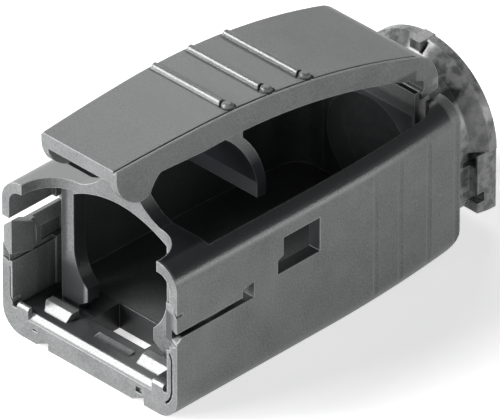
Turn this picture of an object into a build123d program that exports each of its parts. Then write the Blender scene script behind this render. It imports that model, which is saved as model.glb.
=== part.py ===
import os
from math import hypot, sqrt

from build123d import *

# A snap-on strain relief boot for a modular plug, moulded as one piece of plastic.
# Sizes are in millimetres. X runs across the boot, Y back from its front edge, and
# Z up from the surface it stands on.

# Housing: straight sides at the front, which draw in towards the cable end
body_width = 14.0
body_height = 10.25
body_length = 23.45
straight_length = 12.5
draw_in = 0.73
wall = 0.9
floor_thickness = 1.7
rear_wall = 1.15
shoulder_radius = 1.5
base_radius = 1.52
rear_edge_radius = 0.1
heel_radius = 1.5
heel_rise = 0.5
heel_start = 12.5

# Front pocket, where the plug is pushed in
pocket_depth = 2.45
pocket_wall = 0.58
pocket_lower_wall = 0.8
pocket_roof = 0.68
pocket_corner = 0.9
ledge_height = 4.7
notch_inset = 1.6
notch_corner = 2.2
hollow_corner = 1.5
lead_in_depth = 0.35
lead_in_drop = 0.38
lead_in_inset = 2.05
lip_depth = 0.3
lip_rise = 0.22
lip_bevel = 0.14
lip_length = 0.9

# Portal frame behind the pocket
frame_thickness = 0.95
frame_inset = 2.3
portal_half = 3.74
portal_crown_rise = 0.1
portal_haunch_drop = 0.95
jamb_foot = 5.9
jamb_waist = 4.5
lug_half = 2.66
lug_top = 3.3
lug_bottom = 2.45
sill_half = 3.34
sill_height = 2.0

# Stem between the portal frame and the lever
bridge_shoulder_drop = 0.13
bridge_rise = 0.7
stem_half = 0.95
stem_flare_rise = 1.95

# Lever over the top of the housing
lever_front = -0.74
lever_rear = 23.9
lever_front_half = 3.0
lever_taper = 0.0394
lever_crest = 15.55
lever_crest_depth = 6.0
lever_front_drop = 0.19
lever_mid_depth = 14.1
lever_mid_drop = 0.63
lever_fall_depth = 22.3
lever_fall_drop = 2.7
lever_end_drop = 2.1
lever_plate = 0.95
lever_skirt = 0.5
skirt_front_drop = 1.7
skirt_rear_drop = 4.35
lobe_drop = 2.85
lobe_back = 2.6
lobe_width = 2.2
lobe_curve = 1.4
hook_front = 22.65
hook_length = 1.3
edge_groove_width = 0.13
edge_groove_inset = 0.13
edge_groove_depth = 0.14
left_edge_radius = 0.2

# Spring tongue under the lever
tongue_root_drop = 1.4
tongue_front = 7.2
tongue_back = 8.85
tongue_back_drop = 0.7
tongue_tip = 9.95
tongue_tip_width = 0.65
tongue_bend_drop = 0.35
tongue_end_drop = 1.35

# Finger ridges across the lever
ridge_first = 8.3
ridge_pitch = 2.95
ridge_count = 3
ridge_radius = 0.27
ridge_sink = 0.06
ridge_end_inset = 0.2
boss_radius = 0.36
boss_rise = 0.24
boss_dome = 0.2
boss_moat_width = 0.14
boss_moat_depth = 0.14
boss_side_gap = 0.66
trough_radius = 1.4
trough_depth = 0.07

# Cable neck and its end flange
cable_height = 5.08
cable_radius = 3.3
neck_half = 4.6
neck_bottom = 1.3
neck_corner = 0.5
flange_front = 25.84
flange_half = 5.42
flange_cone = 0.85
flange_length = 1.5
flange_rear_radius = 0.14
foot_half = 5.3
foot_corner = 0.14
foot_front_drop = 0.08
foot_rear_drop = 0.34
key_half = 0.4
key_front = 0.22
flange_pocket_height = 0.9
flange_pocket_skin = 0.15
flange_notch_depth = 0.56
flange_notch_low = 1.85
flange_notch_high = 2.5

# Rear of the housing's top opening
stop_half = 3.7
stop_thickness = 0.35
side_slot_bottom = 8.2

# Side walls
window_front = 8.45
window_rear = 11.38
window_low = 6.3
window_high = 8.6
window_toe = 0.45
window_toe_height = 7.25
window_toe_slope = 0.18
right_slot_low = 5.67
right_slot_high = 6.08
right_slot_length = 5.2
right_slot_leg = 0.92
right_slot_leg_top = 6.75
right_slot_mouth = 0.48
right_slot_mouth_drop = 0.34
left_slot_low = 6.6
left_slot_high = 7.56
left_slot_length = 4.5
pad_rear = 1.9
right_pad_inset = 1.2
right_pad_front = 0.35
right_pad_low = 5.1
right_pad_high = 7.65
lead_in_edge = 0.07
lead_in_z = 7.14
tab_gap = 0.12
tab_gap_depth = 0.5
left_pad_inset = 0.76
left_pad_rear = 1.72
left_pad_front_low = 5.2
left_pad_rear_low = 4.72
left_pad_front_high = 7.48
left_pad_rear_high = 6.66
left_tab_edge = 0.13
left_tab_top = 6.92
left_gap_top = 5.68
left_gap_low = 4.8
left_gap_slope = 0.2
left_gap_rim = 0.2
left_gap_edge = 0.04
left_slope_start = 2.14
left_slope_edge = 0.25
left_slope_low = 5.9
left_rib_front = 2.14
recess_front = 2.5
recess_rear = 4.2
recess_depth = 0.2
recess_low = 4.88
wall_groove_depth = 0.6
right_groove_width = 0.16
right_groove = ((0.62, 4.52), (0.43, 4.12), (0.43, 1.95), (0.5, 1.6), (0.65, 1.28), (0.92, 1.02))
left_groove_width = 0.1
left_groove = ((0.63, 4.36), (0.63, 2.5), (0.68, 2.26), (0.79, 2.08), (1.07, 1.9))
grip_positions = (15.96, 18.1, 20.6, 23.1)
grip_radius = 0.5
grip_depth = 0.07

# Floor
ramp_inner = 2.82
ramp_inset = 2.13
ramp_corner = 0.4
ramp_front = 0.9
ramp_peak = 1.42
ramp_rear = 1.95
ramp_rise = 0.42
floor_slot_half = 2.15
floor_slot_front = 2.25
floor_slot_rear = 4.5
bar_front = 1.02
bar_rear = 1.55
bar_left = 0.75
bar_right = 2.05
bar_rise = 0.12
keel_groove_starts = (-4.27, 3.41)
keel_groove = 0.9
keel_groove_depth = 0.47
front_dimples = ((3.93, 0.84, 0.52, 0.4), (-4.42, 0.88, 0.36, 0.14))
front_dimple_depth = 0.25

# Values worked out from the sizes above
half_width = body_width / 2
side_radius = ((body_length - straight_length) ** 2 + draw_in**2) / (2 * draw_in)
pocket_half = half_width - pocket_wall
lower_half = half_width - pocket_lower_wall
notch_half = half_width - notch_inset
lead_in_half = half_width - lead_in_inset
frame_half = half_width - frame_inset
ramp_outer = half_width - ramp_inset
right_pad_half = half_width - right_pad_inset
lead_in_x = half_width - lead_in_edge
left_pad_half = half_width - left_pad_inset
portal_crown = body_height + portal_crown_rise
portal_haunch = body_height - portal_haunch_drop
bridge_shoulder = body_height - bridge_shoulder_drop
stem_flare_height = body_height + stem_flare_rise
lever_front_height = lever_crest - lever_front_drop
lever_mid_height = lever_crest - lever_mid_drop
lever_fall_height = lever_crest - lever_fall_drop
skirt_front_height = lever_crest - skirt_front_drop
skirt_rear_height = lever_crest - skirt_rear_drop
lobe_bottom = lever_crest - lobe_drop
hook_bottom = skirt_rear_height - hook_length
tongue_root = lever_crest - tongue_root_drop
tongue_bend = body_height - tongue_bend_drop
tongue_end = body_height - tongue_end_drop
hollow_rear = body_length - rear_wall
frame_rear = pocket_depth + frame_thickness
neck_top = cable_height + neck_half
flange_rear = flange_front + flange_length
through = 1.0


def side_x(y, inset=0.0):
    """Half-width of the housing at depth y, measured inset from its outer face."""
    back = max(y - straight_length, 0.0)
    return half_width - side_radius + sqrt((side_radius - inset) ** 2 - back**2)


def plan_outline(inset, front, rear):
    """Plan of the housing between two depths, with its sides inset by a wall."""
    middle = (straight_length + rear) / 2
    with BuildSketch() as outline:
        with BuildLine():
            Line((0, front), (side_x(front, inset), front))
            Line((side_x(front, inset), front), (side_x(straight_length, inset), straight_length))
            ThreePointArc(
                (side_x(straight_length, inset), straight_length),
                (side_x(middle, inset), middle),
                (side_x(rear, inset), rear),
            )
            Line((side_x(rear, inset), rear), (0, rear))
            mirror(about=Plane.YZ)
        make_face()
    return outline.sketch


def across(y):
    """Vertical plane across the boot at depth y."""
    return Plane.XZ.offset(-y)


def block(x_range, y_range, z_range, mode=Mode.SUBTRACT):
    """Cuts or adds a straight-sided block between three pairs of limits."""
    with BuildSketch(Plane.XY.offset(z_range[0])) as base:
        with Locations(((x_range[0] + x_range[1]) / 2, (y_range[0] + y_range[1]) / 2)):
            Rectangle(x_range[1] - x_range[0], y_range[1] - y_range[0])
    extrude(base.sketch, amount=z_range[1] - z_range[0], mode=mode)


def both_sides(x_range, y_range, z_range, mode=Mode.SUBTRACT):
    """The same block on the right and on the left."""
    block(x_range, y_range, z_range, mode)
    block((-x_range[1], -x_range[0]), y_range, z_range, mode)


def profile_cut(points, x_range, mode=Mode.SUBTRACT):
    """Cuts or adds a polygon of (y, z) points, drawn from the side, between two values of x."""
    with BuildSketch(Plane.YZ.offset(x_range[0])) as side:
        with BuildLine():
            Polyline(*points, close=True)
        make_face()
    extrude(side.sketch, amount=x_range[1] - x_range[0], mode=mode)


def front_groove(points, width, side):
    """Cuts a narrow groove into the front edge along (inset, z) points on one side."""
    with BuildSketch(across(wall_groove_depth)) as groove:
        with BuildLine() as path:
            Polyline(*[(side * (half_width - inset), z) for inset, z in points])
        trace(path.line, line_width=width)
    extrude(groove.sketch, amount=wall_groove_depth + through, mode=Mode.SUBTRACT)


def between(start, end, share):
    """Value part of the way from start to end."""
    return start + share * (end - start)


def neck_section(half, bottom, corner):
    """Round-topped section of the neck, flat underneath."""
    with BuildSketch() as section:
        with BuildLine():
            Line((-half, cable_height), (-half, bottom))
            Line((-half, bottom), (half, bottom))
            Line((half, bottom), (half, cable_height))
            ThreePointArc((half, cable_height), (0, cable_height + half), (-half, cable_height))
        make_face()
        fillet(section.vertices().group_by(Axis.Y)[0], corner)
    return section.sketch


def lever_half(y):
    """Half-width of the lever at depth y."""
    return lever_front_half + lever_taper * (y - lever_front)


def lever_prism(profile, inset):
    """Runs a side profile across the lever, then trims it to the lever's tapered plan."""
    front = lever_front - through
    rear = lever_rear + through
    with BuildPart() as prism:
        extrude(profile, amount=body_width / 2, both=True)
        with BuildSketch() as plan:
            with BuildLine():
                Polyline(
                    (-lever_half(front) + inset, front),
                    (lever_half(front) - inset, front),
                    (lever_half(rear) - inset, rear),
                    (-lever_half(rear) + inset, rear),
                    close=True,
                )
            make_face()
        extrude(plan.sketch, amount=lever_crest + through, mode=Mode.INTERSECT)
    return prism.part


def lever_top(drop):
    """Points of the lever's top line in side view, lowered by drop."""
    return (
        (lever_front, lever_front_height - drop),
        (lever_crest_depth, lever_crest - drop),
        (lever_mid_depth, lever_mid_height - drop),
        (lever_fall_depth, lever_fall_height - drop),
    )


def top_height(y):
    """Height of the lever's crown at depth y, from the arc through its three points."""
    arc = ThreePointArc(*lever_top(0)[1:], mode=Mode.PRIVATE)
    centre = arc.arc_center
    return centre.Y + sqrt(arc.radius**2 - (y - centre.X) ** 2)


def crown_plane(y):
    """Plane touching the lever's crown at depth y, with its own y running back along the crown."""
    step = 0.05
    slope = (top_height(y + step) - top_height(y - step)) / (2 * step)
    return Plane(origin=(0, y, top_height(y)), x_dir=(1, 0, 0), z_dir=(0, -slope, 1))


# Housing, solid at first, with rounded shoulders, lower edges and rear edges
with BuildPart() as housing:
    extrude(plan_outline(0, 0, body_length), amount=body_height)
    long_edges = [edge for edge in housing.edges() if abs(edge.center().X) > body_width / 4]
    top_edges = [edge for edge in long_edges if edge.center().Z > body_height - through / 2]
    fillet([edge for edge in top_edges if edge.length > wall], shoulder_radius)
    long_edges = [edge for edge in housing.edges() if abs(edge.center().X) > body_width / 4]
    fillet([edge for edge in long_edges if edge.center().Z < through / 2], base_radius)
    rear_face = housing.faces().sort_by(Axis.Y)[-1]
    fillet(rear_face.edges(), rear_edge_radius)

    # The heel: the underside lifts a little and rounds up at the rear
    with BuildSketch(Plane.YZ) as heel:
        heel_front = body_length - heel_radius
        with BuildLine():
            Line((heel_start, 0), (heel_front, heel_rise))
            RadiusArc((heel_front, heel_rise), (body_length, heel_rise + heel_radius), -heel_radius)
            Line((body_length, heel_rise + heel_radius), (body_length + through, heel_rise + heel_radius))
            Line((body_length + through, heel_rise + heel_radius), (body_length + through, -through))
            Line((body_length + through, -through), (heel_start, -through))
            Line((heel_start, -through), (heel_start, 0))
        make_face()
    extrude(heel.sketch, amount=body_width, both=True, mode=Mode.SUBTRACT)

# Neck and flange, with a round cone above the cable's centre and a square foot below it
with BuildPart() as tail:
    with BuildSketch(across(flange_rear)) as cone_disc:
        with Locations((0, cable_height)):
            Circle(flange_half)
    extrude(cone_disc.sketch, amount=flange_length)
    front_rim = tail.faces().sort_by(Axis.Y)[0].edges()
    chamfer(front_rim, flange_cone - 0.01, flange_half - neck_half)
    rear_rim = tail.faces().sort_by(Axis.Y)[-1].edges()
    fillet(rear_rim, flange_rear_radius)
    block((-body_width, body_width), (flange_front - through, flange_rear + through), (-through, cable_height))
    foot_bottom = neck_bottom - foot_rear_drop
    with BuildSketch(across(flange_rear)) as foot:
        with Locations((0, (cable_height + foot_bottom) / 2)):
            Rectangle(2 * foot_half, cable_height - foot_bottom)
        fillet(foot.vertices().group_by(Axis.Y)[0], foot_corner)
    extrude(foot.sketch, amount=flange_length)
    foot_slope = (
        (flange_front - through / 2, -through),
        (flange_front - through / 2, neck_bottom - foot_front_drop),
        (flange_front, neck_bottom - foot_front_drop),
        (flange_rear + through / 2, foot_bottom - through / 8),
        (flange_rear + through / 2, -through),
    )
    profile_cut(foot_slope, (-body_width, body_width))
    with BuildSketch(across(flange_front)) as neck:
        add(neck_section(neck_half, neck_bottom, neck_corner))
    extrude(neck.sketch, amount=flange_front - hollow_rear)

    # Key on the crown of the flange, with a groove beside it
    key_top = cable_height + flange_half
    block((-key_half, key_half), (flange_front + key_front, flange_rear), (neck_top - 0.2, key_top), Mode.ADD)
    block((key_half, key_half + 0.22), (flange_front + key_front, flange_front + 0.75), (neck_top + 0.05, key_top))

    # Pockets between the cone and the foot, and notches at the foot's lower corners
    pocket_floor = cable_height - flange_pocket_height
    both_sides(
        (neck_half - 0.4, foot_half - flange_pocket_skin),
        (flange_front - through / 2, flange_front + flange_cone),
        (pocket_floor, cable_height),
    )
    both_sides(
        (neck_half - 0.1, flange_half + through),
        (flange_front - through / 2, flange_front + flange_notch_depth),
        (flange_notch_low, flange_notch_high),
    )

# Lever: a tapered plate with skirts, front lobes and a hook at its rear end
with BuildSketch(Plane.YZ) as lever_side:
    with BuildLine():
        crown = ThreePointArc(*lever_top(0)[1:])
        top_front = TangentArc(crown @ 0, (lever_front, lever_front_height), tangent=-(crown % 0))
        fall = TangentArc(crown @ 1, (lever_rear, lever_fall_height - lever_end_drop), tangent=crown % 1)
        Line(fall @ 1, (lever_rear, hook_bottom + 0.2))
        Line((lever_rear, hook_bottom + 0.2), (hook_front + 0.25, hook_bottom))
        ThreePointArc(
            (hook_front + 0.25, hook_bottom),
            (hook_front, hook_bottom + 0.2),
            (hook_front + 0.15, hook_bottom + 0.55),
        )
        Line((hook_front + 0.15, hook_bottom + 0.55), (hook_front + 0.15, skirt_rear_height - 0.35))
        ThreePointArc(
            (hook_front + 0.15, skirt_rear_height - 0.35),
            (hook_front + 0.05, skirt_rear_height - 0.1),
            (hook_front - 0.2, skirt_rear_height),
        )
        ThreePointArc(
            (hook_front - 0.2, skirt_rear_height),
            (
                between(lever_crest_depth, hook_front, 0.62),
                between(skirt_rear_height, skirt_front_height, 0.69),
            ),
            (lever_crest_depth, skirt_front_height),
        )
        Line((lever_crest_depth, skirt_front_height), (lobe_back, skirt_front_height + 0.1))
        ThreePointArc(
            (lobe_back, skirt_front_height + 0.1),
            (lobe_back - 0.43, skirt_front_height - 0.35),
            (lobe_back - 0.75, lobe_bottom + 0.2),
        )
        ThreePointArc(
            (lobe_back - 0.75, lobe_bottom + 0.2),
            (lobe_back - lobe_curve, lobe_bottom - 0.04),
            (lobe_back - lobe_width, lobe_bottom + 0.2),
        )
        ThreePointArc(
            (lobe_back - lobe_width, lobe_bottom + 0.2),
            (lever_front + 0.27, lobe_bottom + 1.1),
            (lever_front, lobe_bottom + 2.1),
        )
        Line((lever_front, lobe_bottom + 2.1), (lever_front, lever_front_height))
    make_face()

with BuildSketch(Plane.YZ) as channel_side:
    channel_rear = hook_front - 0.95
    with BuildLine():
        Line((lever_front - through, lever_front_height - lever_plate), lever_top(lever_plate)[1])
        ThreePointArc(*lever_top(lever_plate)[1:])
        Line(lever_top(lever_plate)[3], (lever_fall_depth, hook_bottom - through))
        Line((lever_fall_depth, hook_bottom - through), (lever_front - through, hook_bottom - through))
        Line((lever_front - through, hook_bottom - through), (lever_front - through, lever_front_height - lever_plate))
    make_face()
    with Locations((channel_rear + body_length / 2, lever_fall_height)):
        Rectangle(body_length, body_height, mode=Mode.SUBTRACT)

with BuildSketch(Plane.YZ) as groove_side:
    with BuildLine():
        Polyline(lever_top(edge_groove_depth)[0], lever_top(edge_groove_depth)[1])
        ThreePointArc(*lever_top(edge_groove_depth)[1:])
        Line(lever_top(edge_groove_depth)[3], (lever_fall_depth, lever_crest + through))
        Line((lever_fall_depth, lever_crest + through), (lever_front, lever_crest + through))
        Line((lever_front, lever_crest + through), lever_top(edge_groove_depth)[0])
    make_face()

with BuildPart() as edge_groove:
    add(lever_prism(groove_side.sketch, edge_groove_inset))
    add(lever_prism(groove_side.sketch, edge_groove_inset + edge_groove_width), mode=Mode.SUBTRACT)
    block((-body_width, 0), (lever_front - through, body_length), (0, lever_crest + 2 * through))

# The tongue leaves the lever's underside, curves down and ends inside the housing
with BuildSketch(Plane.YZ) as tongue_side:
    with BuildLine():
        ThreePointArc(
            (tongue_front, tongue_root),
            (between(tongue_front, tongue_tip, 0.564), between(tongue_bend, tongue_root, 0.635)),
            (tongue_tip, tongue_bend),
        )
        Line((tongue_tip, tongue_bend), (tongue_tip, tongue_end))
        Line((tongue_tip, tongue_end), (tongue_tip + tongue_tip_width, tongue_end))
        Line((tongue_tip + tongue_tip_width, tongue_end), (tongue_tip + tongue_tip_width, tongue_bend))
        ThreePointArc(
            (tongue_tip + tongue_tip_width, tongue_bend),
            (
                between(tongue_back, tongue_tip + tongue_tip_width, 0.669),
                between(tongue_bend, tongue_root - tongue_back_drop, 0.521),
            ),
            (tongue_back, tongue_root - tongue_back_drop),
        )
        Line((tongue_back, tongue_root - tongue_back_drop), (tongue_back, tongue_root + 0.3))
        Line((tongue_back, tongue_root + 0.3), (tongue_front, tongue_root + 0.3))
        Line((tongue_front, tongue_root + 0.3), (tongue_front, tongue_root))
    make_face()

with BuildPart() as lever:
    add(lever_prism(lever_side.sketch, 0))

    # The top edge is rounded on the left and has a fine groove along it on the right
    left_face = lever.faces().sort_by(Axis.X)[0]
    left_edges = [left_face.edges().sort_by(SortBy.LENGTH)[-2:].sort_by(Axis.Z)[-1]]
    for edge in left_face.edges():
        if edge.center().Y > lever_fall_depth and edge.center().Z > skirt_rear_height:
            left_edges.append(edge)
    fillet(left_edges, left_edge_radius)
    add(lever_prism(channel_side.sketch, lever_skirt), mode=Mode.SUBTRACT)
    add(edge_groove.part, mode=Mode.SUBTRACT)
    add(lever_prism(tongue_side.sketch, 0.02))

    # Finger ridges, each in a shallow trough, with a round boss at its right-hand end
    for index in range(ridge_count):
        ridge_y = ridge_first + index * ridge_pitch
        ridge_z = top_height(ridge_y)
        ridge_left = -lever_half(ridge_y) + ridge_end_inset
        boss_x = lever_half(ridge_y) - boss_side_gap
        with BuildSketch(Plane.YZ.offset(-body_width / 2)) as trough:
            with Locations((ridge_y, ridge_z - trough_depth + trough_radius)):
                Circle(trough_radius)
        extrude(trough.sketch, amount=boss_x + body_width / 2, mode=Mode.SUBTRACT)
        with BuildSketch(Plane.YZ.offset(ridge_left)) as ridge:
            with Locations((ridge_y, ridge_z - ridge_sink)):
                Circle(ridge_radius)
        extrude(ridge.sketch, amount=boss_x - ridge_left)
        with BuildSketch(crown_plane(ridge_y).offset(-boss_moat_depth)) as moat:
            with Locations((boss_x, 0)):
                Circle(boss_radius + boss_moat_width)
        extrude(moat.sketch, amount=through, mode=Mode.SUBTRACT)
        with BuildSketch(crown_plane(ridge_y).offset(-lever_plate / 2)) as boss:
            with Locations((boss_x, 0)):
                Circle(boss_radius)
        with BuildPart(mode=Mode.PRIVATE) as dome:
            extrude(boss.sketch, amount=lever_plate / 2 + boss_rise)
            fillet(dome.edges().group_by(Axis.Z)[-1], boss_dome)
        add(dome.part)

# The whole boot
with BuildPart() as boot:
    add(housing.part)

    # Hollow behind the portal frame, open at the top, with rounded rear corners
    with BuildSketch(Plane.XY.offset(floor_thickness)) as hollow:
        add(plan_outline(wall, frame_rear, hollow_rear))
        fillet(hollow.vertices().group_by(Axis.Y)[-1], hollow_corner)
    extrude(hollow.sketch, amount=body_height, mode=Mode.SUBTRACT)

    # Front pocket: a wide upper part with rounded corners above a ledge, and a narrower lower part
    with BuildSketch(across(frame_rear)) as pocket:
        with Locations((0, (ledge_height + body_height - pocket_roof) / 2)):
            Rectangle(2 * pocket_half, body_height - pocket_roof - ledge_height)
        fillet(pocket.vertices().group_by(Axis.Y)[-1], pocket_corner)
    extrude(pocket.sketch, amount=frame_rear + through, mode=Mode.SUBTRACT)
    block((-lower_half, lower_half), (-through, frame_rear), (floor_thickness, ledge_height + 0.1))

    # The pocket's roof is cut away between the two front tips
    with BuildSketch(Plane.XY.offset(ledge_height)) as notch:
        with Locations((0, (pocket_depth - through) / 2)):
            Rectangle(2 * notch_half, pocket_depth + through)
        fillet(notch.vertices().group_by(Axis.Y)[-1], notch_corner)
    extrude(notch.sketch, amount=body_height, mode=Mode.SUBTRACT)

    # Portal frame, its bridge and the stem that carries the lever
    with BuildSketch(across(frame_rear)) as frame:
        with BuildLine():
            Line((0, floor_thickness - 0.5), (frame_half, floor_thickness - 0.5))
            Line((frame_half, floor_thickness - 0.5), (frame_half, body_height))
            Line((frame_half, body_height), (portal_half, bridge_shoulder))
            ThreePointArc(
                (portal_half, bridge_shoulder),
                (portal_half / 2 + 0.25, bridge_shoulder + bridge_rise),
                (stem_half, stem_flare_height),
            )
            stem_top = lever_front_height - lever_plate / 2
            Line((stem_half, stem_flare_height), (stem_half, stem_top))
            Line((stem_half, stem_top), (0, stem_top))
            mirror(about=Plane.YZ)
        make_face()
    extrude(frame.sketch, amount=frame_thickness)
    with BuildSketch(across(frame_rear + through)) as portal:
        with BuildLine():
            ThreePointArc((0, portal_crown), (portal_half / 2, portal_crown - 0.26), (portal_half, portal_haunch))
            Line((portal_half, portal_haunch), (portal_half, jamb_foot))
            ThreePointArc((portal_half, jamb_foot), (portal_half - 0.25, jamb_waist), (lug_half, lug_top))
            Line((lug_half, lug_top), (lug_half, lug_bottom))
            Line((lug_half, lug_bottom), (sill_half, sill_height))
            Line((sill_half, sill_height), (sill_half, floor_thickness))
            Line((sill_half, floor_thickness), (0, floor_thickness))
            mirror(about=Plane.YZ)
        make_face()
    extrude(portal.sketch, amount=frame_thickness + 1.2 * through, mode=Mode.SUBTRACT)

    # Cable neck, flange and bore, then the lever
    add(tail.part)
    with BuildSketch(across(flange_rear + through)) as bore:
        with Locations((0, cable_height)):
            Circle(cable_radius)
    extrude(bore.sketch, amount=flange_rear - hollow_rear + 2 * through, mode=Mode.SUBTRACT)

    # Behind the opening the rear wall drops to the neck, except for a low stop in the middle
    side_gap = neck_half - stop_half
    block(
        (-stop_half, stop_half),
        (hollow_rear + stop_thickness, body_length + through),
        (neck_top, body_height + through),
    )
    both_sides(
        (stop_half, stop_half + side_gap),
        (hollow_rear - through / 4, flange_front - through),
        (side_slot_bottom, body_height + through),
    )
    add(lever.part)

    # Windows through both side walls
    window_points = (
        (window_front, window_high),
        (window_rear, window_high),
        (window_rear, window_low),
        (window_front - window_toe, window_low),
        (window_front - window_toe, window_toe_height),
        (window_front, window_toe_height + window_toe_slope),
    )
    profile_cut(window_points, (lower_half - through / 2, half_width + through))
    profile_cut(window_points, (-half_width - through, -lower_half + through / 2))

    # Slots that free the snap tabs at the front of each side wall
    slot_points = (
        (-through, right_slot_low - right_slot_mouth_drop),
        (0, right_slot_low - right_slot_mouth_drop),
        (right_slot_mouth, right_slot_low),
        (right_slot_length + right_slot_leg, right_slot_low),
        (right_slot_length + right_slot_leg, right_slot_leg_top),
        (right_slot_length, right_slot_leg_top - 0.15),
        (right_slot_length, right_slot_high),
        (-through, right_slot_high),
    )
    profile_cut(slot_points, (lower_half - through / 2, half_width + through))
    block(
        (-half_width - through, -lower_half + through / 2),
        (-through, left_slot_length),
        (left_slot_low, left_slot_high),
    )

    # Right-hand snap pad, with a sloping lead-in that also takes the wall's front edge
    with BuildSketch(across(pad_rear)) as right_pad:
        with BuildLine():
            Polyline(
                (lead_in_x, right_slot_high),
                (lead_in_x, lead_in_z),
                (lead_in_x - 0.5, right_pad_high),
                (right_pad_half, right_pad_high - 0.1),
                (right_pad_half, right_pad_low),
                (pocket_half, right_pad_low),
                (pocket_half, right_slot_high),
                close=True,
            )
        make_face()
    extrude(right_pad.sketch, amount=pad_rear - 0.01)
    with BuildSketch(across(right_pad_front)) as lead_in:
        with BuildLine():
            Polyline(
                (lead_in_x, right_pad_low),
                (lead_in_x, lead_in_z),
                (lead_in_x - 0.6, lead_in_z + 0.6),
                (right_pad_half - 0.2, lead_in_z + 0.6),
                (right_pad_half - 0.2, right_pad_low - 0.1),
                (pocket_half, right_pad_low - 0.1),
                close=True,
            )
        make_face()
    with BuildPart(mode=Mode.PRIVATE) as wedge:
        extrude(lead_in.sketch, amount=right_pad_front + through)
        with BuildSketch() as wedge_plan:
            with BuildLine():
                Polyline(
                    (lead_in_x, -through),
                    (lead_in_x, 0),
                    (right_pad_half, right_pad_front),
                    (right_pad_half - 0.2, right_pad_front),
                    (right_pad_half - 0.2, -through),
                    close=True,
                )
            make_face()
        extrude(wedge_plan.sketch, amount=body_height, mode=Mode.INTERSECT)
    add(wedge.part, mode=Mode.SUBTRACT)
    with BuildSketch(across(tab_gap_depth)) as gap:
        with BuildLine():
            Polyline(
                (lead_in_x + 0.3, lead_in_z - 0.3),
                (lead_in_x + 0.3, lead_in_z - 0.3 + 2 * tab_gap),
                (pocket_half - 0.2, lead_in_z + lead_in_x - pocket_half + 0.2 + 2 * tab_gap),
                (pocket_half - 0.2, lead_in_z + lead_in_x - pocket_half + 0.2),
                close=True,
            )
        make_face()
    extrude(gap.sketch, amount=tab_gap_depth + through, mode=Mode.SUBTRACT)

    # Left-hand snap tab: it leans inwards at the top, and drops towards the rear
    with BuildPart(mode=Mode.PRIVATE) as left_tab:
        with BuildSketch(across(left_pad_rear)) as tab_face:
            with BuildLine():
                Polyline(
                    (-half_width + left_tab_edge, left_pad_rear_low - through),
                    (-half_width + left_tab_edge, left_tab_top),
                    (-left_pad_half, left_pad_front_high),
                    (-left_pad_half, left_pad_rear_low - through),
                    close=True,
                )
            make_face()
        extrude(tab_face.sketch, amount=left_pad_rear)
        with BuildSketch(Plane.YZ.offset(-body_width)) as tab_side:
            with BuildLine():
                Polyline(
                    (0, left_pad_front_low),
                    (left_pad_rear, left_pad_rear_low),
                    (left_pad_rear, left_pad_rear_high),
                    (0, left_pad_front_high),
                    close=True,
                )
            make_face()
        extrude(tab_side.sketch, amount=body_width, mode=Mode.INTERSECT)
    add(left_tab.part)

    # Its outer face stands back from the wall, and below it the wall's front edge is cut away
    with BuildSketch(across(tab_gap_depth)) as left_gap:
        with BuildLine():
            Polyline(
                (-half_width - through, left_slot_low + through / 2),
                (-half_width - through, left_gap_top),
                (-half_width + left_tab_edge, left_gap_top),
                (-half_width + left_tab_edge, left_slot_low + through / 2),
                close=True,
            )
        make_face()
    extrude(left_gap.sketch, amount=tab_gap_depth + through, mode=Mode.SUBTRACT)
    with BuildSketch(across(tab_gap_depth)) as left_gap:
        with BuildLine():
            Polyline(
                (-half_width - through, left_gap_top + 0.02),
                (-half_width - through, left_gap_low),
                (-half_width, left_gap_low),
                (-left_pad_half - left_gap_rim, left_gap_low - left_gap_slope),
                (-left_pad_half - left_gap_rim, left_pad_front_low),
                (-half_width + left_tab_edge, left_gap_top + 0.02),
                close=True,
            )
        make_face()
    with BuildPart(mode=Mode.PRIVATE) as gap_wedge:
        extrude(left_gap.sketch, amount=tab_gap_depth + through)
        with BuildSketch() as gap_plan:
            with BuildLine():
                Polyline(
                    (-half_width - through, -through),
                    (-half_width - through, left_gap_edge),
                    (-half_width, left_gap_edge),
                    (-left_pad_half - left_gap_rim, tab_gap_depth),
                    (-left_pad_half + through, tab_gap_depth),
                    (-left_pad_half + through, -through),
                    close=True,
                )
            make_face()
        extrude(gap_plan.sketch, amount=body_height, mode=Mode.INTERSECT)
    add(gap_wedge.part, mode=Mode.SUBTRACT)

    # Behind the pad the slot's lower side slopes down into the pocket
    with BuildSketch(across(left_slot_length)) as left_slope:
        with BuildLine():
            Polyline(
                (-half_width + left_slope_edge, left_slot_low + 0.02),
                (-pocket_half, left_slope_low),
                (-pocket_half + through, left_slope_low),
                (-pocket_half + through, left_slot_low + 0.02),
                close=True,
            )
        make_face()
    extrude(left_slope.sketch, amount=left_slot_length - left_slope_start, mode=Mode.SUBTRACT)

    # Recess behind each pad, and on the left a narrow one between the pad and a rib
    recess_wall = -pocket_half - recess_depth
    block((-pocket_half - recess_depth / 2, -pocket_half + through), (left_pad_rear, left_rib_front), (recess_low, left_slot_low))
    block((recess_wall, -pocket_half + through), (recess_front, recess_rear), (recess_low, left_slope_low))
    block((pocket_half - through, -recess_wall), (recess_front, recess_rear), (recess_low, right_slot_low))

    # Narrow grooves in the front edge of the lower walls
    front_groove(right_groove, right_groove_width, 1)
    front_groove(left_groove, left_groove_width, -1)

    # Raised lips at both ends of the floor's lead-in
    lip_points = (
        (0, floor_thickness - 0.1),
        (0, floor_thickness + lip_rise),
        (lip_bevel, floor_thickness + lip_rise + lip_bevel),
        (lip_depth, floor_thickness + lip_rise + lip_bevel),
        (lip_depth, floor_thickness - 0.1),
    )
    for side in (1, -1):
        lip_x = sorted((side * lead_in_half, side * (lead_in_half + lip_length)))
        profile_cut(lip_points, lip_x, Mode.ADD)

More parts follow.
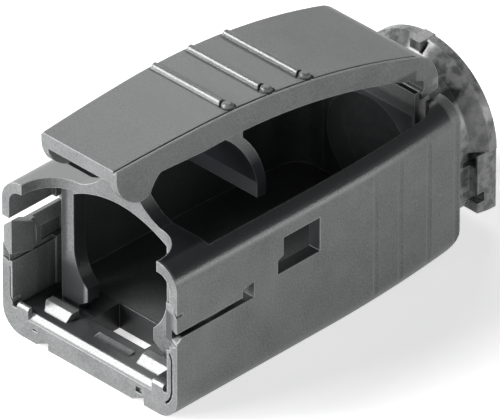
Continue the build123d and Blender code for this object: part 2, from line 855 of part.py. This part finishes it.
        # Ramps on the floor that the plug snaps over
        ramp_points = (
            (ramp_front, floor_thickness - 0.1),
            (ramp_front, floor_thickness),
            (ramp_peak, floor_thickness + ramp_rise),
            (ramp_rear, floor_thickness + ramp_rise),
            (ramp_rear, floor_thickness - 0.1),
        )
        ramp_x = sorted((side * ramp_inner, side * ramp_outer))
        with BuildPart(mode=Mode.PRIVATE) as ramp:
            profile_cut(ramp_points, ramp_x, Mode.ADD)
            with BuildSketch() as ramp_cut:
                with BuildLine():
                    Polyline(
                        (side * (ramp_outer - ramp_corner), ramp_front - 0.1),
                        (side * (ramp_outer + 0.1), ramp_peak + 0.05),
                        (side * (ramp_outer + 0.1), ramp_front - 0.1),
                        close=True,
                    )
                make_face()
            extrude(ramp_cut.sketch, amount=body_height, mode=Mode.SUBTRACT)
        add(ramp.part)

        # Upright finger grooves in the sides near the cable end
        for grip_y in grip_positions:
            with BuildSketch() as grip:
                with Locations((side * (side_x(grip_y) + grip_radius - grip_depth), grip_y)):
                    Circle(grip_radius)
            extrude(grip.sketch, amount=body_height, mode=Mode.SUBTRACT)

    # Grooves along the underside, with one sloping side each
    for groove_start in keel_groove_starts:
        with BuildSketch(across(-through)) as keel:
            with BuildLine():
                Polyline(
                    (groove_start, -through),
                    (groove_start, 0.04),
                    (groove_start + keel_groove, keel_groove_depth),
                    (groove_start + keel_groove, -through),
                    close=True,
                )
            make_face()
        extrude(keel.sketch, amount=-(heel_start + through), mode=Mode.SUBTRACT)

    # Lead-in along the floor's front edge, the slot through the floor and the low bar before it
    lead_in_points = (
        (-through, floor_thickness + 0.2),
        (-through, floor_thickness - lead_in_drop),
        (0, floor_thickness - lead_in_drop),
        (lead_in_depth, floor_thickness),
        (lead_in_depth, floor_thickness + 0.2),
    )
    profile_cut(lead_in_points, (-lead_in_half, lead_in_half))
    block(
        (-floor_slot_half, floor_slot_half),
        (floor_slot_front, floor_slot_rear),
        (-through, floor_thickness + 0.05),
    )
    bar_points = (
        (bar_front, floor_thickness - 0.1),
        (bar_front, floor_thickness),
        (bar_rear, floor_thickness + bar_rise),
        (bar_rear, floor_thickness - 0.1),
    )
    profile_cut(bar_points, (-bar_left, bar_right), Mode.ADD)

    # Dimples in the front edge of the floor
    for dimple_x, dimple_z, wide, high in front_dimples:
        block(
            (dimple_x - wide / 2, dimple_x + wide / 2),
            (-through, front_dimple_depth),
            (dimple_z - high / 2, dimple_z + high / 2),
        )

# The origin is set under the middle of the boot's length
boot_box = boot.part.bounding_box()
boot.part = boot.part.moved(Location((0, -(boot_box.min.Y + boot_box.max.Y) / 2, -boot_box.min.Z)))
boot.part.label = "boot"

os.makedirs("parts", exist_ok=True)
export_step(boot.part, "parts/boot.step")
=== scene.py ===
from math import cos, pi, radians, sin

import bpy
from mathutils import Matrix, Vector

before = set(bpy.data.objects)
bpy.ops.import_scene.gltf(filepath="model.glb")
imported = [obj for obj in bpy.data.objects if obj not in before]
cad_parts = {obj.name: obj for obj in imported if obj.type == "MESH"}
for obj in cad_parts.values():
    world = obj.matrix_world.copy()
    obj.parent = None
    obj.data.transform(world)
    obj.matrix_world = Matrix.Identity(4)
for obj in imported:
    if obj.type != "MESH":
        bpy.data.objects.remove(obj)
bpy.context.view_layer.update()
scene = bpy.context.scene


def direction(azimuth, elevation):  # from the boot outwards; azimuth 0 is the plug opening's side
    a, e = radians(azimuth), radians(elevation)
    return Vector((sin(a) * cos(e), -cos(a) * cos(e), sin(e)))


def standOff(item, aim, back, distance):  # puts a camera or lamp away from the aim, facing it
    item.location = Vector(aim) + back * distance
    item.rotation_mode = "QUATERNION"
    item.rotation_quaternion = (-back).to_track_quat("-Z", "Y")


photo = {  # how the camera sees the boot
    "azimuth": 45.0,
    "elevation": 33.7,
    "lens": 1100.0,  # so long that parallel edges look parallel
    "sensor": 36.0,
    "wide": 0.02833,  # width of the picture at the boot, in metres
    "aim": (0.0, -0.00052, 0.00516),
    "clip": (0.2, 3.0),  # nearest and farthest that it sees, as shares of its distance
}


def makeCamera():
    data = bpy.data.cameras.new("camera")
    camera = bpy.data.objects.new("camera", data)
    scene.collection.objects.link(camera)
    data.lens = photo["lens"]
    data.sensor_width = photo["sensor"]
    distance = photo["wide"] * photo["lens"] / photo["sensor"]
    standOff(camera, photo["aim"], direction(photo["azimuth"], photo["elevation"]), distance)
    data.clip_start, data.clip_end = (share * distance for share in photo["clip"])
    scene.camera = camera


# Helpers for shader nodes; each one that starts with add or mix makes one node and returns its result

def fill(links, socket, value):  # another node's socket is linked, and a plain value is set
    if isinstance(value, bpy.types.NodeSocket):
        links.new(value, socket)
    else:
        socket.default_value = value


def addMath(nodes, links, operation, first, second, clamp=False):
    node = nodes.new("ShaderNodeMath")
    node.operation = operation
    node.use_clamp = clamp
    fill(links, node.inputs[0], first)
    fill(links, node.inputs[1], second)
    return node.outputs[0]


def addVector(nodes, links, operation, first, second):
    node = nodes.new("ShaderNodeVectorMath")
    node.operation = operation
    fill(links, node.inputs[0], first)
    fill(links, node.inputs[1], second)
    return node.outputs["Value" if operation == "DOT_PRODUCT" else "Vector"]


def splitVector(nodes, links, vector):
    node = nodes.new("ShaderNodeSeparateXYZ")
    links.new(vector, node.inputs[0])
    return node.outputs


def addRange(nodes, links, value, spread, result=(0.0, 1.0)):  # turns one spread of values into another
    node = nodes.new("ShaderNodeMapRange")
    links.new(value, node.inputs["Value"])
    node.inputs["From Min"].default_value, node.inputs["From Max"].default_value = spread
    node.inputs["To Min"].default_value, node.inputs["To Max"].default_value = result
    return node.outputs["Result"]


def addRamp(nodes, links, value, finish):  # from the finish's dark colour to its light one
    node = nodes.new("ShaderNodeValToRGB")
    colours = (finish["dark"], finish["light"])
    for element, position, colour in zip(node.color_ramp.elements, finish["toneSpread"], colours):
        element.position = position
        element.color = (*colour, 1)
    links.new(value, node.inputs["Fac"])
    return node.outputs["Color"]


def addNoise(nodes, links, place, scale, detail):
    node = nodes.new("ShaderNodeTexNoise")
    links.new(place, node.inputs["Vector"])
    fill(links, node.inputs["Scale"], scale)
    node.inputs["Detail"].default_value = detail
    return node.outputs["Fac"]


def mixValue(nodes, links, factor, first, second):
    node = nodes.new("ShaderNodeMix")
    links.new(factor, node.inputs["Factor"])
    fill(links, node.inputs["A"], first)
    fill(links, node.inputs["B"], second)
    return node.outputs["Result"]


def mixColour(nodes, links, factor, first, second):
    node = nodes.new("ShaderNodeMix")
    node.data_type = "RGBA"
    links.new(factor, node.inputs["Factor"])
    fill(links, node.inputs[6], first)  # 6 and 7 are its two colours, and output 2 is their mix
    fill(links, node.inputs[7], second)
    return node.outputs[2]


def groupSocket(group, name, kind, side):
    group.interface.new_socket(name=name, in_out=side, socket_type=kind)


def boxGroup():  # a mask that is 1 within a box and fades to 0 outside it
    group = bpy.data.node_groups.new("boxMask", "ShaderNodeTree")
    for name in ("Low", "High", "Fade"):
        groupSocket(group, name, "NodeSocketVector", "INPUT")
    groupSocket(group, "Mask", "NodeSocketFloat", "OUTPUT")
    nodes, links = group.nodes, group.links
    values = nodes.new("NodeGroupInput").outputs
    place = nodes.new("ShaderNodeTexCoord").outputs["Object"]
    sides = []
    for first, second in ((place, values["Low"]), (values["High"], place)):
        side = addVector(nodes, links, "SUBTRACT", first, second)
        side = addVector(nodes, links, "DIVIDE", side, values["Fade"])
        side = addVector(nodes, links, "ADD", side, (1, 1, 1))
        side = addVector(nodes, links, "MAXIMUM", side, (0, 0, 0))
        sides.append(addVector(nodes, links, "MINIMUM", side, (1, 1, 1)))
    split = splitVector(nodes, links, addVector(nodes, links, "MULTIPLY", *sides))
    mask = addMath(nodes, links, "MULTIPLY", split["X"], split["Y"])
    mask = addMath(nodes, links, "MULTIPLY", mask, split["Z"])
    links.new(mask, nodes.new("NodeGroupOutput").inputs["Mask"])
    return group


def boxMask(nodes, group, box):  # box is the low corner, the high corner and the width of the soft border
    node = nodes.new("ShaderNodeGroup")
    node.node_tree = group
    for name, value in zip(("Low", "High", "Fade"), box):
        node.inputs[name].default_value = value
    return node.outputs["Mask"]


moulded = {  # how the grain, the cloudy tone and the edges of moulded plastic are made up
    "grainDetail": 2.0,
    "grainShare": 0.65,  # of the tone
    "cloudDetail": 4.0,
    "cloudShare": 0.35,
    "edgeTurn": (0.99, 0.90),  # cosines of the turn of the rounded normal, with no edge and full edge
    "edgeSamples": 6,
    "bumpUnit": 1.0,  # a bump's height of 1 is this many metres
}


def mouldedGroup():
    group = bpy.data.node_groups.new("mouldedGrain", "ShaderNodeTree")
    for name in ("Grain scale", "Cloud scale", "Grain height", "Edge radius"):
        groupSocket(group, name, "NodeSocketFloat", "INPUT")
    for name in ("Tone", "Edge"):
        groupSocket(group, name, "NodeSocketFloat", "OUTPUT")
    groupSocket(group, "Normal", "NodeSocketVector", "OUTPUT")
    nodes, links = group.nodes, group.links
    values = nodes.new("NodeGroupInput").outputs
    results = nodes.new("NodeGroupOutput").inputs

    place = nodes.new("ShaderNodeTexCoord").outputs["Object"]
    grain = addNoise(nodes, links, place, values["Grain scale"], moulded["grainDetail"])
    cloud = addNoise(nodes, links, place, values["Cloud scale"], moulded["cloudDetail"])
    fine = addMath(nodes, links, "MULTIPLY", grain, moulded["grainShare"])
    soft = addMath(nodes, links, "MULTIPLY", cloud, moulded["cloudShare"])
    links.new(addMath(nodes, links, "ADD", fine, soft), results["Tone"])

    rounded = nodes.new("ShaderNodeBevel")
    rounded.samples = moulded["edgeSamples"]
    links.new(values["Edge radius"], rounded.inputs["Radius"])
    surface = nodes.new("ShaderNodeNewGeometry")
    turn = addVector(nodes, links, "DOT_PRODUCT", rounded.outputs["Normal"], surface.outputs["Normal"])
    # the Edge mask also places the painted edge highlight in the colour
    links.new(addRange(nodes, links, turn, moulded["edgeTurn"]), results["Edge"])

    bump = nodes.new("ShaderNodeBump")
    bump.inputs["Distance"].default_value = moulded["bumpUnit"]
    links.new(addMath(nodes, links, "MULTIPLY", grain, values["Grain height"]), bump.inputs["Height"])
    links.new(rounded.outputs["Normal"], bump.inputs["Normal"])
    links.new(bump.outputs["Normal"], results["Normal"])
    return group


plastic = {  # dark grey moulded plastic with a fine grain
    "dark": (0.082, 0.086, 0.087),
    "light": (0.172, 0.178, 0.178),
    "toneSpread": (0.36, 0.64),
    "rough": (0.32, 0.50),
    "roughSpread": (0.35, 0.68),
    "grain": 9000.0,  # grain cells per metre
    "grainHeight": 0.000007,
    "cloud": 420.0,  # clouds of tone per metre
    "edge": 0.00008,  # radius of the rounded edges, in metres
    # painted highlight: edges are painted paler, standing in for light caught by the rounded edges
    "edgeHighlightColour": (0.42, 0.43, 0.43),
    "edgeHighlightShare": (1.0, 0.15),  # how pale an edge is outside, and in a shaded place
    "upward": (0.20, 0.55),  # how far up a face looks where the top's shades start and are full
}

leadIn = {  # the faces that lead the plug in slope up and backwards, and look smooth
    "slope": 45.0,
    "likeness": (0.94, 0.985),  # cosines of the turn from that slope, with no polish and full polish
    "bottom": (0.00141, 0.00146),  # heights between which the polish sets in
    "rough": 0.15,
}

flange = {  # the flange behind the housing is glossier and blotched
    "box": ((-0.0075, 0.01022, -0.0002), (0.0075, 0.0145, 0.01085), (0.0001, 0.00006, 0.0001)),
    "rough": (0.14, 0.40),
    "roughSpread": (0.35, 0.65),
    "blotch": 1700.0,
    "blotchDetail": 3.0,
    "dark": (0.10, 0.104, 0.104),
    "light": (0.26, 0.265, 0.26),
    "toneSpread": (0.38, 0.62),
}

shade = {  # places of the same plastic that are painted darker, because they look so in the photo
    "colour": (0.0065, 0.0078, 0.0095),
    "rough": 0.34,
    "boreRough": 0.95,
}

shadedBoxes = {  # low corner, high corner, soft border, and how dark the place is
    "hollow": ((-0.0061, -0.0088, 0.0012), (0.0061, 0.0092, 0.0093),
               (0.0002, 0.0002, 0.0002), 0.50),
    "opening": ((-0.0058, -0.0088, 0.0093), (0.0058, 0.0088, 0.0119),
                (0.0002, 0.0002, 0.0002), 0.65),
    "bore": ((-0.00345, 0.0088, 0.0015), (0.00345, 0.01385, 0.0086),
             (0.0002, 0.0002, 0.0002), 0.93),
    "tongue": ((-0.00326, -0.0068, 0.0085), (0.00326, -0.0020, 0.0141),
               (0.00003, 0.0002, 0.0002), 0.98),
    "tongueSide": ((-0.0040, -0.0068, 0.0085), (0.0040, -0.0020, 0.0112),
                   (0.0002, 0.0002, 0.0024), 0.97),
    "window": ((-0.00690, -0.0051, 0.0060), (0.00690, -0.0017, 0.0088),
               (0.00004, 0.0002, 0.0002), 0.985),
    "slot": ((0.0055, -0.0131, 0.0052), (0.00690, -0.0079, 0.0070),
             (0.00004, 0.0002, 0.0002), 0.985),
    "jambFoot": ((-0.0056, -0.0113, 0.0012), (-0.0030, -0.0088, 0.0043),
                 (0.0002, 0.0002, 0.0012), 0.92),
    "jambLeft": ((-0.0060, -0.0113, 0.0012), (-0.0044, -0.0106, 0.0092),
                 (0.0003, 0.0001, 0.0004), 0.75),
    "jambSide": ((-0.0052, -0.01075, 0.0012), (-0.0020, -0.0088, 0.0095),
                 (0.0002, 0.00005, 0.0002), 0.93),
    "chamferFoot": ((-0.0050, -0.01327, 0.0012), (0.0050, -0.0129, 0.00141),
                    (0.0001, 0.00002, 0.00004), 0.50),
    "pocketFloor": ((-0.0062, -0.0128, 0.0012), (0.0062, -0.0088, 0.00172),
                    (0.0002, 0.0001, 0.00006), 0.70),
    "floorSlot": ((-0.0022, -0.0111, 0.0001), (0.0022, -0.0087, 0.00172),
                  (0.0001, 0.0001, 0.00006), 0.90),
}

# painted light: the paler colour stands in for light falling on this top face
paintedLightFrontTop = {  # the housing's top beside the portal is painted paler, as it looks in the photo
    "box": ((-0.0068, -0.0135, 0.0090), (0.0016, -0.0072, 0.0118), (0.0004, 0.0004, 0.0003)),
    "colour": (0.22, 0.225, 0.225),
    "share": 0.9,
}

# painted shade: the darker colour stands in for the lever's shade and dark reflections on this rounded
# edge
paintedShadeShoulder = {  # the housing's rounded top right edge is painted darker, as it looks in the photo
    "box": ((0.0022, -0.0131, 0.0092), (0.0072, 0.0093, 0.0113), (0.0010, 0.0002, 0.0003)),
    "share": 0.95,
    "rough": 0.24,
}


def placeMasks(nodes, links):  # where on the boot each finish lies
    coordinates = nodes.new("ShaderNodeTexCoord")
    height = splitVector(nodes, links, coordinates.outputs["Object"])["Z"]
    facing = coordinates.outputs["Normal"]
    upward = addRange(nodes, links, splitVector(nodes, links, facing)["Z"], plastic["upward"])
    box = boxGroup()
    masks = {"flange": boxMask(nodes, box, flange["box"])}
    for name, look in (("paintedLightFrontTop", paintedLightFrontTop), ("paintedShadeShoulder", paintedShadeShoulder)):
        masks[name] = addMath(nodes, links, "MULTIPLY", boxMask(nodes, box, look["box"]), upward)

    masks["shade"] = 0.0
    for name, (low, high, fade, depth) in shadedBoxes.items():
        masks[name] = addMath(nodes, links, "MULTIPLY", boxMask(nodes, box, (low, high, fade)), depth)
        masks["shade"] = addMath(nodes, links, "MAXIMUM", masks[name], masks["shade"])

    slope = radians(leadIn["slope"])
    likeness = addVector(nodes, links, "DOT_PRODUCT", facing, (0, -sin(slope), cos(slope)))
    likeness = addRange(nodes, links, likeness, leadIn["likeness"])
    bottom = addRange(nodes, links, height, leadIn["bottom"])
    masks["leadIn"] = addMath(nodes, links, "MULTIPLY", likeness, bottom)
    return masks


def plasticColour(nodes, links, grain, blotch, masks):
    colour = addRamp(nodes, links, grain.outputs["Tone"], plastic)
    colour = mixColour(nodes, links, masks["flange"], colour, addRamp(nodes, links, blotch, flange))
    # painted light on the housing top beside the portal
    pale = addMath(nodes, links, "MULTIPLY", masks["paintedLightFrontTop"], paintedLightFrontTop["share"])
    colour = mixColour(nodes, links, pale, colour, (*paintedLightFrontTop["colour"], 1))
    # painted shade on the right shoulder and in the shaded places
    paintedShade = addMath(nodes, links, "MULTIPLY", masks["paintedShadeShoulder"], paintedShadeShoulder["share"])
    paintedShade = addMath(nodes, links, "MAXIMUM", masks["shade"], paintedShade)
    colour = mixColour(nodes, links, paintedShade, colour, (*shade["colour"], 1))
    # painted highlight along the edges, weaker inside the painted shade
    edge = addRange(nodes, links, masks["shade"], (0, 1), plastic["edgeHighlightShare"])
    edge = addMath(nodes, links, "MULTIPLY", grain.outputs["Edge"], edge)
    return mixColour(nodes, links, edge, colour, (*plastic["edgeHighlightColour"], 1))


def plasticRoughness(nodes, links, grain, blotch, masks):
    rough = addRange(nodes, links, grain.outputs["Tone"], plastic["roughSpread"], plastic["rough"])
    glossy = addRange(nodes, links, blotch, flange["roughSpread"], flange["rough"])
    rough = mixValue(nodes, links, masks["flange"], rough, glossy)
    for name, value in (("leadIn", leadIn["rough"]), ("shade", shade["rough"]),
                        ("bore", shade["boreRough"]), ("paintedShadeShoulder", paintedShadeShoulder["rough"])):
        rough = mixValue(nodes, links, masks[name], rough, value)
    return rough


def plasticMaterial():
    material = bpy.data.materials.new("mouldedPlastic")
    material.use_nodes = True
    nodes, links = material.node_tree.nodes, material.node_tree.links
    shader = nodes["Principled BSDF"]
    masks = placeMasks(nodes, links)
    grain = nodes.new("ShaderNodeGroup")
    grain.node_tree = mouldedGroup()
    for name, value in (("Grain scale", "grain"), ("Cloud scale", "cloud"), ("Edge radius", "edge")):
        grain.inputs[name].default_value = plastic[value]
    flat = addRange(nodes, links, masks["leadIn"], (0, 1), (plastic["grainHeight"], 0.0))
    links.new(flat, grain.inputs["Grain height"])  # the lead-in faces have no grain
    place = nodes.new("ShaderNodeTexCoord").outputs["Object"]
    blotch = addNoise(nodes, links, place, flange["blotch"], flange["blotchDetail"])
    links.new(plasticColour(nodes, links, grain, blotch, masks), shader.inputs["Base Color"])
    links.new(plasticRoughness(nodes, links, grain, blotch, masks), shader.inputs["Roughness"])
    links.new(grain.outputs["Normal"], shader.inputs["Normal"])
    return material


lamps = {  # level is how bright a white card facing the lamp would be
    "key": {"azimuth": -46, "elevation": 38, "size": 0.12, "level": 0.95},
    "front": {"azimuth": -24, "elevation": 8, "size": 0.12, "level": 1.32},
    "right": {"azimuth": 78, "elevation": 7, "size": 0.12, "level": 0.24},
    "rim": {"azimuth": 124, "elevation": 6, "size": 0.10, "level": 0.24},
    "lowRight": {"azimuth": 45, "elevation": 10, "size": 0.12, "level": 0.06},
    "back": {"azimuth": -135, "elevation": 34, "size": 0.12, "level": 0.18},
}

studio = {  # where the lamps stand, and the white surroundings
    "distance": 0.30,  # from the lamps to what they face
    "aim": (0, 0, 0.006),
    "world": 0.02,  # what the surroundings add to matt surfaces
    "sky": (0.05, 0.60),  # heights of a ray between which the white backdrop turns grey
    "overhead": 0.35,
}


def makeLamp(name, lamp):
    data = bpy.data.lights.new(name, "AREA")
    data.shape = "SQUARE"
    data.size = lamp["size"]
    data.energy = lamp["level"] * (pi * studio["distance"]) ** 2
    light = bpy.data.objects.new(name, data)
    scene.collection.objects.link(light)
    standOff(light, studio["aim"], direction(lamp["azimuth"], lamp["elevation"]), studio["distance"])


def seenRays(nodes, links):  # 1 where the camera sees a thing itself, in a gloss or through glass
    seen = nodes.new("ShaderNodeLightPath")
    direct = addMath(nodes, links, "ADD", seen.outputs["Is Camera Ray"], seen.outputs["Is Glossy Ray"])
    return addMath(nodes, links, "ADD", direct, seen.outputs["Is Transmission Ray"], clamp=True)


def makeWorld():
    world = bpy.data.worlds.new("studio")
    scene.world = world
    world.use_nodes = True
    nodes, links = world.node_tree.nodes, world.node_tree.links
    background = nodes["Background"]
    background.inputs["Color"].default_value = (1, 1, 1, 1)
    height = splitVector(nodes, links, nodes.new("ShaderNodeTexCoord").outputs["Generated"])["Z"]
    backdrop = addRange(nodes, links, height, studio["sky"], (1.0, studio["overhead"]))
    strength = mixValue(nodes, links, seenRays(nodes, links), studio["world"], backdrop)
    links.new(strength, background.inputs["Strength"])


ground = {  # the pale floor that the boot stands on
    "colour": (0.9, 0.9, 0.9),
    "rough": 0.9,
    "size": 0.6,
    "glow": 0.62,  # lifts the floor to white in the picture, and its shadow with it
}


def makeFloor():
    bpy.ops.object.select_all(action="DESELECT")
    bpy.ops.mesh.primitive_plane_add(size=ground["size"], location=(0, 0, 0))
    floor = bpy.context.object
    floor.name = "floor"
    material = bpy.data.materials.new("paleFloor")
    material.use_nodes = True
    nodes, links = material.node_tree.nodes, material.node_tree.links
    shader = nodes["Principled BSDF"]
    shader.inputs["Base Color"].default_value = (*ground["colour"], 1)
    shader.inputs["Roughness"].default_value = ground["rough"]
    glow = nodes.new("ShaderNodeEmission")
    lift = addMath(nodes, links, "MULTIPLY", seenRays(nodes, links), ground["glow"])
    links.new(lift, glow.inputs["Strength"])
    both = nodes.new("ShaderNodeAddShader")
    links.new(shader.outputs["BSDF"], both.inputs[0])
    links.new(glow.outputs["Emission"], both.inputs[1])
    links.new(both.outputs["Shader"], nodes["Material Output"].inputs["Surface"])
    floor.data.materials.append(material)


makeCamera()
print("camera set")
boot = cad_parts["boot"]
boot.data.materials.clear()
boot.data.materials.append(plasticMaterial())
print("plastic made")
for name, lamp in lamps.items():
    makeLamp(name, lamp)
makeWorld()
makeFloor()
scene.view_settings.view_transform = "Standard"
print("studio made")
